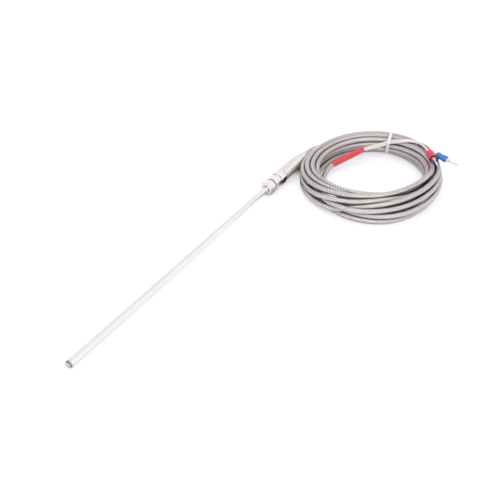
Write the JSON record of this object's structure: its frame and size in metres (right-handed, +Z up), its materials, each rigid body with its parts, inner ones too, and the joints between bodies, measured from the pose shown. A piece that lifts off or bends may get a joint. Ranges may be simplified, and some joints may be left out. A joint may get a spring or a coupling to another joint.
{
  "type": "thermocouple probe",
  "caption": "Stainless thermocouple probe with a hex fitting, a tapered strain relief spring and a coiled braided cable ending in red and blue fork terminals.",
  "frame": {"origin": "on the floor, under the middle of the rigid probe from its tip to the end of its spring", "axes": "+X along the probe from its tip towards the cable, +Y to the side away from the coil, +Z up"},
  "size_m": [0.325, 0.1223, 0.0209],
  "materials": {
    "polished_steel": "polished stainless steel",
    "weld_steel": "matt welded stainless steel",
    "nickel": "nickel plated brass",
    "spring_steel": "bright spring steel",
    "steel_braid": "woven stainless steel braid",
    "thermo_alloy": "bare thermocouple alloy",
    "alumina": "fired alumina",
    "cement": "cast cement",
    "glass_sleeve": "woven glass sleeving",
    "tie_plastic": "white nylon",
    "red_shrink": "red heat shrink",
    "wire_cover": "cream woven glass insulation",
    "red_vinyl": "red vinyl sleeve",
    "blue_vinyl": "blue vinyl sleeve",
    "tinned_copper": "tin plated copper"
  },
  "bodies": {
    "root": {"sheath_tube": "polished_steel", "tip_plug": "weld_steel", "hot_junction": "thermo_alloy", "fitting_body": "nickel", "spring_nut": "nickel", "strain_relief_spring": "spring_steel", "sheath_seal": "cement", "cable_ferrule": "weld_steel", "cable_entry": "steel_braid", "ceramic_insulator_1": "alumina", "ceramic_insulator_2": "alumina", "ceramic_insulator_3": "alumina", "ceramic_insulator_4": "alumina", "leg_positive": "thermo_alloy", "leg_negative": "thermo_alloy", "splice_positive": "weld_steel", "splice_negative": "weld_steel", "splice_sleeve_positive": "glass_sleeve", "splice_sleeve_negative": "glass_sleeve", "core_end_positive": "thermo_alloy", "core_end_negative": "thermo_alloy", "coil_tie": "tie_plastic", "cable_coil": "steel_braid", "cable_lead": "steel_braid", "cable_tail": "steel_braid", "shrink_sleeve": "red_shrink", "lead_wire_red": "wire_cover", "lead_wire_blue": "wire_cover", "terminal_sleeve_red": "red_vinyl", "terminal_sleeve_blue": "blue_vinyl", "fork_terminal_red": "tinned_copper", "fork_terminal_blue": "tinned_copper"}
  },
  "joints": []
}
